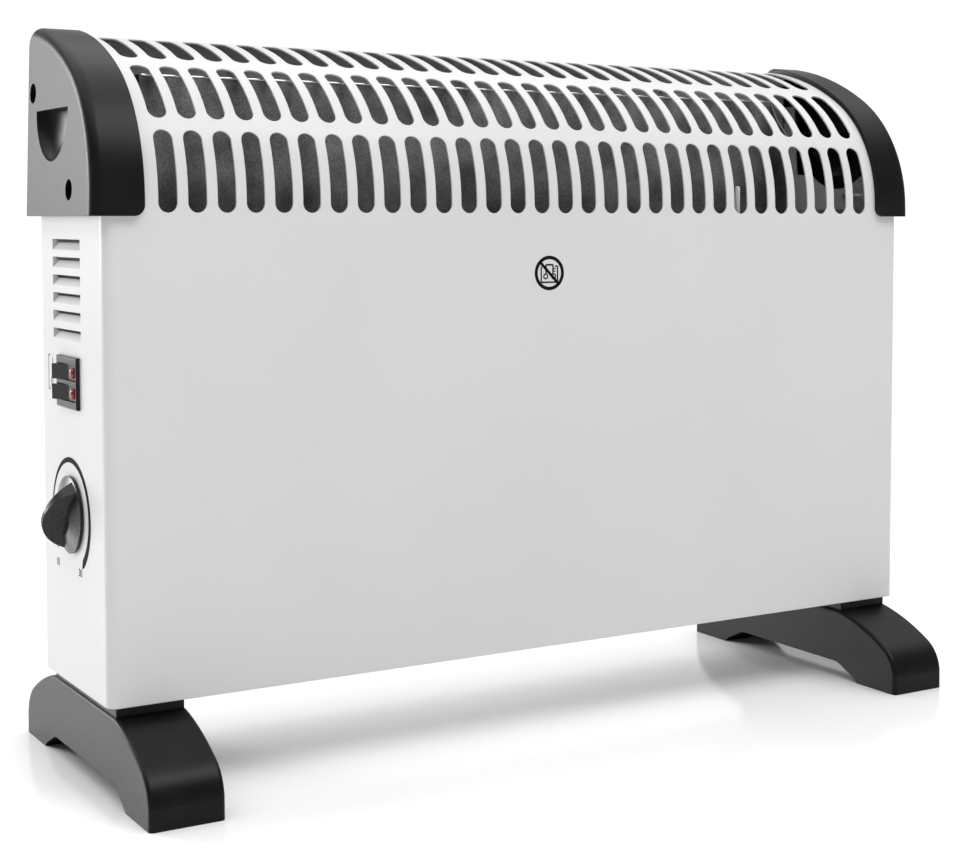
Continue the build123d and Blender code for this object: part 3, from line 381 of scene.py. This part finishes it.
CRESCENT_FORWARD, CRESCENT_UP = -1.5 * MM, -1.0 * MM
CRESCENT_R = 29.6 * MM
CRESCENT_OVAL = 0.6 * MM
CRESCENT_START, CRESCENT_END = 222.0, -48.0
CRESCENT_STEPS = 108
CRESCENT_THIN, CRESCENT_SWELL, CRESCENT_GROWTH = 0.4 * MM, 1.8 * MM, 0.8
CRESCENT_TIP_TURN, CRESCENT_TIP_OUT = 7, 1.0 * MM

NUMBER_SIZE = 5.5 * MM
NUMBER_BOLD = 0.12 * MM
NUMBER_LEVEL = -28.5 * MM
LOW_NUMBER_FORWARD, HIGH_NUMBER_FORWARD = -24.5 * MM, 13 * MM

BARS_BEHIND = 12 * MM
BARS_PITCH = 2.2 * MM
BARS_RISE = 3 * MM
BAR_HALF, BAR_WIDTH = 2.6 * MM, 0.9 * MM
BRACKET_BEHIND = 7 * MM
BRACKET_BELOW, BRACKET_ABOVE = 6 * MM, 12 * MM
BRACKET_ARM, BRACKET_WIDTH = 2.5 * MM, 0.8 * MM
STAGE_BARS = {"rocker_upper": 1, "rocker_lower": 2}


def on_wing(forward, up):
    """Place on the left wing, from the dial's centre; forward is towards the front."""
    return (shell_low.x - INK_LIFT, dial.y - forward, dial.z + up)


def on_print(forward, up):
    """Place on the left wing, from the middle of the printed crescent."""
    return on_wing(forward + CRESCENT_FORWARD, up + CRESCENT_UP)


def dial_marks():
    """Crescent that thickens from the low end to the high one and ends in a point."""
    outer, inner = [], []
    for i in range(CRESCENT_STEPS + 1):
        share = i / CRESCENT_STEPS
        angle = math.radians(CRESCENT_START + (CRESCENT_END - CRESCENT_START) * share)
        middle = CRESCENT_R + CRESCENT_OVAL * math.cos(2 * angle)
        half = CRESCENT_THIN + CRESCENT_SWELL * share ** CRESCENT_GROWTH
        outer.append(((middle + half) * math.cos(angle), (middle + half) * math.sin(angle)))
        inner.append(((middle - half) * math.cos(angle), (middle - half) * math.sin(angle)))
    tip_angle = math.radians(CRESCENT_END - CRESCENT_TIP_TURN)
    tip_r = CRESCENT_R + CRESCENT_TIP_OUT
    tip = (tip_r * math.cos(tip_angle), tip_r * math.sin(tip_angle))
    head = ([on_print(*outer[-1]), on_print(*inner[-1]), on_print(*tip)], [(0, 1, 2)])
    printed("dial_marks", [strip(inner, outer, on_print), head], BLACK_INK, LEFTWARD)


def number(name, text, place):
    """A number printed on the left wing, its middle at place."""
    curve = bpy.data.curves.new(name, "FONT")
    curve.body = text
    curve.size = NUMBER_SIZE
    curve.offset = NUMBER_BOLD
    curve.align_x = "CENTER"
    curve.align_y = "CENTER"
    mesh = mesh_of_curve(name + "_text", curve)
    upright = Matrix(((0, 0, -1), (-1, 0, 0), (0, 1, 0))).to_4x4()
    mesh.transform(Matrix.Translation(Vector(place)) @ upright)
    add_piece(name, mesh, BLACK_INK)


def switch_marks():
    """Bracket and bars behind the switch: one bar for one stage, two for both."""
    low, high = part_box("switch_housing")
    bars = dial.y - high.y - BARS_BEHIND
    bracket = bars - BRACKET_BEHIND
    middle = (low.z + high.z) / 2 - dial.z
    bottom, top = middle - BRACKET_BELOW, middle + BRACKET_ABOVE
    shapes = [bar((bracket, bottom), (bracket, top), BRACKET_WIDTH, on_wing)]
    for level in (bottom, top):
        shapes.append(bar((bracket, level), (bracket + BRACKET_ARM, level), BRACKET_WIDTH, on_wing))
    for rocker, count in STAGE_BARS.items():
        rocker_low, rocker_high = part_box(rocker)
        level = (rocker_low.z + rocker_high.z) / 2 - dial.z + BARS_RISE
        for i in range(count):
            across = bars - BARS_PITCH * i
            shapes.append(bar((across, level - BAR_HALF), (across, level + BAR_HALF), BAR_WIDTH, on_wing))
    printed("switch_marks", shapes, BLACK_INK, LEFTWARD)


dial_marks()
number("dial_low_number", "10", on_wing(LOW_NUMBER_FORWARD, NUMBER_LEVEL))
number("dial_high_number", "30", on_wing(HIGH_NUMBER_FORWARD, NUMBER_LEVEL))
switch_marks()


# ---------------------------------------------------------------- sign on the front
SIGN_X = (shell_low.x + shell_high.x) / 2 - 3.1 * MM
SIGN_Z = 260 * MM
SIGN_R, SIGN_RING = 9.7 * MM, 2.0 * MM
SLASH_REACH, SLASH_WIDTH = 8.7 * MM, 1.7 * MM
ROUND_STEPS = 73
SMALL_STEPS = 19

# outlines inside the ring, in millimetres from its middle
TUB = ((-5.4, 3.8), (-5.4, -5.2), (5.4, -5.2), (5.4, 3.8), (3.8, 3.8))
SHEET = ((-2.2, -0.6), (-2.2, 4.6), (2.4, 4.6), (2.4, -0.6))
OUTLINE_WIDTHS = ((TUB, 0.9), (SHEET, 1.0))
LOOP_XS, LOOP_Z = (-2.4, 2.8), -1.9
LOOP_INNER_R, LOOP_OUTER_R = 0.9 * MM, 1.7 * MM
DASH_X, DASH_ZS, DASH_WIDTH = (2.4, 4.2), (1.0, 2.4), 0.6


def on_front(x, z):
    """Place on the front, from the middle of the sign."""
    return (SIGN_X + x, shell_low.y - INK_LIFT, SIGN_Z + z)


def millimetre_bar(a, b, width):
    """Flat bar on the front, all in millimetres from the middle of the sign."""
    return bar([v * MM for v in a], [v * MM for v in b], width * MM, on_front)


def sign_ring():
    """Ring with a slash."""
    inner = arc_points(SIGN_R - SIGN_RING, 0, 360, ROUND_STEPS)
    ring = strip(inner, arc_points(SIGN_R, 0, 360, ROUND_STEPS), on_front)
    reach = SLASH_REACH * math.cos(math.radians(45))
    slash = bar((-reach, reach), (reach, -reach), SLASH_WIDTH, on_front)
    printed("front_sign_ring", [ring, slash], BLACK_INK, FRONTWARD)


def sign_loop(x):
    """Small round loop, x millimetres right of the sign's middle."""
    rows = [
        [(px + x * MM, pz + LOOP_Z * MM) for px, pz in arc_points(radius, 0, 360, SMALL_STEPS)]
        for radius in (LOOP_INNER_R, LOOP_OUTER_R)
    ]
    return strip(*rows, on_front)


def sign_outlines():
    """Outline of a tub with a sheet hung over it, two loops and two dashes."""
    shapes = []
    for outline, width in OUTLINE_WIDTHS:
        shapes += [millimetre_bar(a, b, width) for a, b in zip(outline, outline[1:])]
    shapes += [sign_loop(x) for x in LOOP_XS]
    shapes += [millimetre_bar((DASH_X[0], z), (DASH_X[1], z), DASH_WIDTH) for z in DASH_ZS]
    printed("front_sign_outlines", shapes, BLACK_INK, FRONTWARD)


sign_ring()
sign_outlines()


# ---------------------------------------------------------------- round bars
THINNEST = 0.05
PATH_STEPS = 12


def round_line(name, points, radius, fineness=3, blunt=0):
    """Mesh of a round bar along some points; the last end is rounded over the last blunt points."""
    curve = bpy.data.curves.new(name, "CURVE")
    curve.dimensions = "3D"
    curve.use_fill_caps = True
    spline = curve.splines.new("POLY")
    spline.points.add(len(points) - 1)
    for i, place in enumerate(points):
        spline.points[i].co = (*place, 1)
        left = len(points) - 1 - i
        if left < blunt:
            spline.points[i].radius = max(THINNEST, math.sqrt(1 - (1 - left / blunt) ** 2))
    curve.bevel_depth = radius
    curve.bevel_resolution = fineness
    mesh = mesh_of_curve(name + "_maker", curve)
    for polygon in mesh.polygons:
        polygon.use_smooth = True
    return mesh


def smooth_path(corners):
    """Points of a curve from the first corner to the last, drawn towards those between."""
    points = []
    for i in range(PATH_STEPS + 1):
        level = [Vector(c) for c in corners]
        while len(level) > 1:
            level = [a.lerp(b, i / PATH_STEPS) for a, b in zip(level, level[1:])]
        points.append(level[0])
    return points


# ---------------------------------------------------------------- front heat shield's trim
SHIELD_FACE_Y = -12.3 * MM
HEM_RADIUS, HEM_INSET, HEM_DROP = 0.55 * MM, 1 * MM, 0.3 * MM
SLEEVE_FROM_RIGHT, SLEEVE_FORWARD = 47.4 * MM, 25.7 * MM
SLEEVE_RADIUS = 1.5 * MM
SLEEVE_TOP = 310 * MM
SLEEVE_BELOW, SLEEVE_BACK, SLEEVE_UPRIGHT = 8 * MM, 48 * MM, 20 * MM


def shield_hem():
    """Rolled edge along the top of the front heat shield, in a lighter zinc whose colour is a painted highlight
    line.
    """
    low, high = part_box("front_heat_shield")
    z = high.z - HEM_DROP
    ends = [(low.x + HEM_INSET, SHIELD_FACE_Y, z), (high.x - HEM_INSET, SHIELD_FACE_Y, z)]
    add_piece("shield_hem", round_line("shield_hem", ends, HEM_RADIUS), PAINTED_LIGHT_ZINC)


def white_sleeve():
    """White sleeved end of a lead, from under the front shield up in front of it."""
    low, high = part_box("front_heat_shield")
    x = high.x - SLEEVE_FROM_RIGHT
    y = SHIELD_FACE_Y - SLEEVE_FORWARD
    below = low.z - SLEEVE_BELOW
    turn = smooth_path([(x, y + SLEEVE_BACK, below), (x, y, below), (x, y, low.z + SLEEVE_UPRIGHT)])
    rises = [SLEEVE_RADIUS * math.sin(math.radians(angle)) for angle in range(0, 91, 15)]
    tip = [(x, y, SLEEVE_TOP - SLEEVE_RADIUS + rise) for rise in rises]
    mesh = round_line("white_sleeve", turn + tip, SLEEVE_RADIUS, 4, len(tip) - 1)
    add_piece("white_sleeve", mesh, SLEEVE_WHITE)


shield_hem()
white_sleeve()


# ---------------------------------------------------------------- plate on the back
PLATE_FROM_MIDDLE, PLATE_Z = 150 * MM, 330 * MM
PLATE_HALF_W, PLATE_HALF_H, PLATE_CORNER = 32 * MM, 17 * MM, 3 * MM
PLATE_LIFT, PLATE_LINE_LIFT = 0.05 * MM, 0.12 * MM
LINE_INNER, LINE_OUTER = 2.0 * MM, 1.4 * MM
CORNER_STEPS = 7


def plate_outline(inset):
    """Flat points of the plate's rounded outline, drawn in by inset."""
    points = []
    for side_x, side_z, start in ((1, 1, 0), (-1, 1, 90), (-1, -1, 180), (1, -1, 270)):
        middle_x = side_x * (PLATE_HALF_W - PLATE_CORNER - inset)
        middle_z = side_z * (PLATE_HALF_H - PLATE_CORNER - inset)
        corner = arc_points(PLATE_CORNER, start, start + 90, CORNER_STEPS)
        points += [(middle_x + x, middle_z + z) for x, z in corner]
    return points


def rating_plate():
    """Blank rating plate on the back panel: a thin rounded label with a fine frame line."""
    low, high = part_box("back_panel")
    plate_x = (low.x + high.x) / 2 + PLATE_FROM_MIDDLE

    def on_back(x, z):
        return (plate_x + x, high.y + PLATE_LIFT, PLATE_Z + z)

    def on_plate(x, z):
        return (plate_x + x, high.y + PLATE_LINE_LIFT, PLATE_Z + z)

    outline = plate_outline(0)
    sheet = ([on_back(*p) for p in outline], [tuple(range(len(outline)))])
    printed("rating_plate", [sheet], LABEL_SILVER, BACKWARD)
    frame_line = strip(plate_outline(LINE_INNER), plate_outline(LINE_OUTER), on_plate, closed=True)
    printed("rating_plate_line", [frame_line], BLACK_INK, BACKWARD)


rating_plate()


# ---------------------------------------------------------------- helix of each heating coil
HELIX_WIRE = 0.45 * MM
HELIX_PITCH = 2.1 * MM
HELIX_STEPS = 10


def coil_place(share, low, high):
    """Place on the U that the CAD envelope follows, with the direction out of the U."""
    radius = (high.y - low.y) / 2
    y = (low.y + high.y) / 2
    lower_z, upper_z = low.z + radius, high.z - radius
    bend = (upper_z - lower_z) / 2
    straight = high.x - radius - bend - low.x
    arc = math.pi * bend
    along = (2 * straight + arc) * share
    if along < straight:
        return Vector((low.x + along, y, lower_z)), Vector((0, 0, -1))
    if along < straight + arc:
        angle = (along - straight) / bend
        out = Vector((math.sin(angle), 0, -math.cos(angle)))
        return Vector((low.x + straight, y, lower_z + bend)) + out * bend, out
    return Vector((low.x + 2 * straight + arc - along, y, upper_z)), Vector((0, 0, 1))


def coil_length(low, high):
    """Length of the U that the CAD envelope follows."""
    radius = (high.y - low.y) / 2
    bend = (high.z - low.z) / 2 - radius
    return 2 * (high.x - radius - bend - low.x) + math.pi * bend


def coil_helix(node):
    """Helix of resistance wire in place of a coil's envelope."""
    low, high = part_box(node)
    turn_radius = (high.y - low.y) / 2 - HELIX_WIRE
    count = int(coil_length(low, high) / HELIX_PITCH * HELIX_STEPS)
    points = []
    for i in range(count + 1):
        centre, out = coil_place(i / count, low, high)
        spin = 2 * math.pi * i / HELIX_STEPS
        points.append(centre + turn_radius * (math.cos(spin) * out + math.sin(spin) * Vector((0, 1, 0))))
    mesh = round_line(node + "_helix", points, HELIX_WIRE, 1)
    piece = add_piece(node + "_helix", mesh, MATERIALS["resistance_wire"])
    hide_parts(node)


for coil in ("heating_coil_front", "heating_coil_rear"):
    coil_helix(coil)


# ---------------------------------------------------------------- floor and sky
FLOOR_REACH = 9
FLOOR_CLOUDS = 2
FLOOR_DARK, FLOOR_LIGHT = (0.93, 0.93, 0.93), (0.95, 0.95, 0.95)
SKY_DIM, SKY_BRIGHT = 0.28, 1.06
LOW_SKY_DIM_AT, LOW_SKY_BRIGHT_AT = 0.55, 0.2
REAR_SKY_DIM_AT, REAR_SKY_BRIGHT_AT = 0.35, 0.62


def studio_floor():
    """Pale, slightly glossy floor."""
    reach = FLOOR_REACH
    corners = [(-reach, -reach, 0), (reach, -reach, 0), (reach, reach, 0), (-reach, reach, 0)]
    mesh = mesh_from("floor", corners, [(0, 1, 2, 3)])
    floor = bpy.data.objects.new("floor", mesh)
    bpy.context.scene.collection.objects.link(floor)
    material, tree_nodes, links, shader = new_material("studio_floor")
    tone = noise(tree_nodes, links, FLOOR_CLOUDS, detail=2)
    links.new(ramp(tree_nodes, links, tone, FLOOR_DARK, FLOOR_LIGHT), shader.inputs["Base Color"])
    links.new(spread(tree_nodes, links, tone, 0.10, 0.14), shader.inputs["Roughness"])
    mesh.materials.append(material)


def sky_fade(tree_nodes, dim_at, bright_at):
    """Map Range node from the dim sky to the bright one, by one part of a direction."""
    fade = tree_nodes.new("ShaderNodeMapRange")
    fade.inputs["From Min"].default_value = dim_at
    fade.inputs["From Max"].default_value = bright_at
    fade.inputs["To Min"].default_value = SKY_DIM
    fade.inputs["To Max"].default_value = SKY_BRIGHT
    return fade


def studio_sky():
    """Sky that is white low down behind the heater, and dimmer above and in front of it."""
    world = bpy.data.worlds.new("studio_world")
    bpy.context.scene.world = world
    world.use_nodes = True
    tree_nodes, links = world.node_tree.nodes, world.node_tree.links
    coords = tree_nodes.new("ShaderNodeTexCoord")
    split = tree_nodes.new("ShaderNodeSeparateXYZ")
    links.new(coords.outputs["Generated"], split.inputs["Vector"])
    low_sky = sky_fade(tree_nodes, LOW_SKY_DIM_AT, LOW_SKY_BRIGHT_AT)
    links.new(split.outputs["Z"], low_sky.inputs["Value"])
    rear_sky = sky_fade(tree_nodes, REAR_SKY_DIM_AT, REAR_SKY_BRIGHT_AT)
    links.new(split.outputs["Y"], rear_sky.inputs["Value"])
    links.new(low_sky.outputs["Result"], rear_sky.inputs["To Max"])
    links.new(rear_sky.outputs["Result"], tree_nodes["Background"].inputs["Strength"])
    tree_nodes["Background"].inputs["Color"].default_value = (1, 1, 1, 1)


# ---------------------------------------------------------------- lights and camera
SUN_AIM, SUN_STRENGTH, SUN_DEGREES = (0.0, -0.10, -0.99), 2.75, 95
LENS, SENSOR_WIDTH = 66.9, 36
CAMERA_YAW, CAMERA_PITCH, CAMERA_DISTANCE = -31.24, 2.93, 1.0521
TARGET_RIGHT, TARGET_Z = 0.0036, 0.2368
SHIFT_X, SHIFT_Y = -0.030, -0.127


def high_sun():
    """Very wide soft light from high up, the same over the whole floor."""
    lamp = bpy.data.lights.new("high_sun", "SUN")
    lamp.energy = SUN_STRENGTH
    lamp.angle = math.radians(SUN_DEGREES)
    light = bpy.data.objects.new("high_sun", lamp)
    light.rotation_euler = Vector(SUN_AIM).to_track_quat("-Z", "Y").to_euler()
    bpy.context.scene.collection.objects.link(light)


def softbox(name, place, aim, width, height, watts):
    """Rectangular area light at place, aimed at a point."""
    lamp = bpy.data.lights.new(name, "AREA")
    lamp.shape = "RECTANGLE"
    lamp.size = width
    lamp.size_y = height
    lamp.energy = watts
    light = bpy.data.objects.new(name, lamp)
    light.location = place
    light.rotation_euler = (Vector(aim) - Vector(place)).to_track_quat("-Z", "Y").to_euler()
    bpy.context.scene.collection.objects.link(light)


def camera():
    """Camera on a sphere round its target, near the middle of the case."""
    yaw, pitch = math.radians(CAMERA_YAW), math.radians(CAMERA_PITCH)
    across = math.cos(pitch)
    back = Vector((math.sin(yaw) * across, -math.cos(yaw) * across, math.sin(pitch)))
    case_middle = (shell_low.x + shell_high.x) / 2
    target = Vector((case_middle + TARGET_RIGHT, 0, TARGET_Z))
    data = bpy.data.cameras.new("camera")
    data.lens = LENS
    data.sensor_width = SENSOR_WIDTH
    data.shift_x = SHIFT_X
    data.shift_y = SHIFT_Y
    eye = bpy.data.objects.new("camera", data)
    eye.location = target + back * CAMERA_DISTANCE
    eye.rotation_mode = "QUATERNION"
    eye.rotation_quaternion = (-back).to_track_quat("-Z", "Y")
    bpy.context.scene.collection.objects.link(eye)
    bpy.context.scene.camera = eye


studio_floor()
studio_sky()
softbox("rear_left", place=(-1.4, 1.85, 0.65), aim=(-0.27, 0, 0.25), width=0.5, height=0.9, watts=23)
softbox("front_high", place=(0.35, -1.3, 2.2), aim=(0.05, 0, 0.3), width=1.6, height=1.2, watts=22)
high_sun()
camera()
bpy.context.scene.view_settings.view_transform = "Standard"
